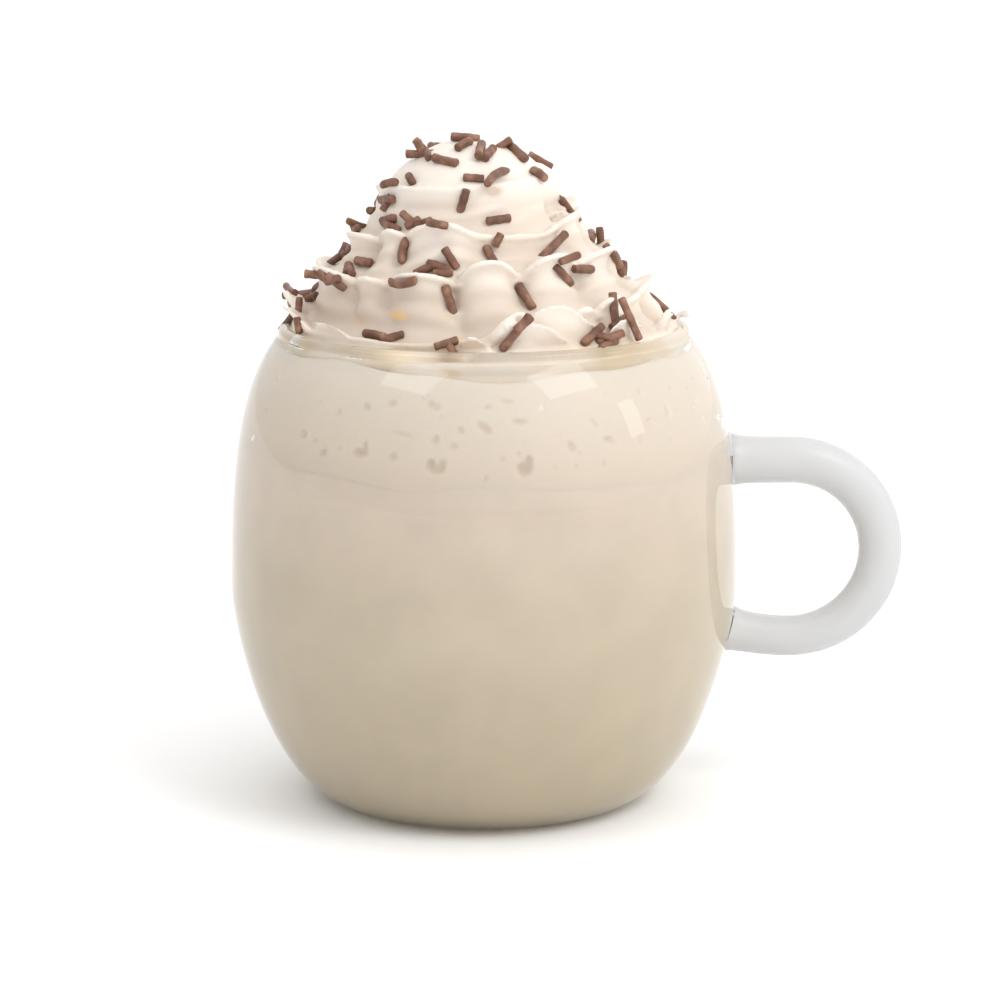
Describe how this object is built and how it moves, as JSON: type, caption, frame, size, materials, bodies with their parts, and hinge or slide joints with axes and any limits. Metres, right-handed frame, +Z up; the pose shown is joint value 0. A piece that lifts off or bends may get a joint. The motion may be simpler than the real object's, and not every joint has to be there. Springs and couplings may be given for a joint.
{
  "type": "hot chocolate in a glass mug",
  "caption": "Pale hot chocolate with froth and a piped swirl of whipped cream under sprinkles, in a barrel-shaped clear glass mug with a rod handle.",
  "frame": {"origin": "centre of the mug's flat underside, on the mug's axis", "axes": "+Z up along the mug's axis, +X towards the handle, the pictured side faces -Y"},
  "size_m": [0.1276, 0.096, 0.125],
  "materials": {
    "glass": "clear blown glass, polished",
    "drink": "opaque milky liquid, cream-beige",
    "froth": "fine dense foam with small bubbles, pinkish cream",
    "cream": "whipped cream, soft and slightly translucent, warm off-white",
    "sprinkles": "milk chocolate strands, dull satin"
  },
  "bodies": {
    "root": {"mug": "glass", "drink": "drink", "froth": "froth", "cream": "cream"}
  },
  "joints": []
}
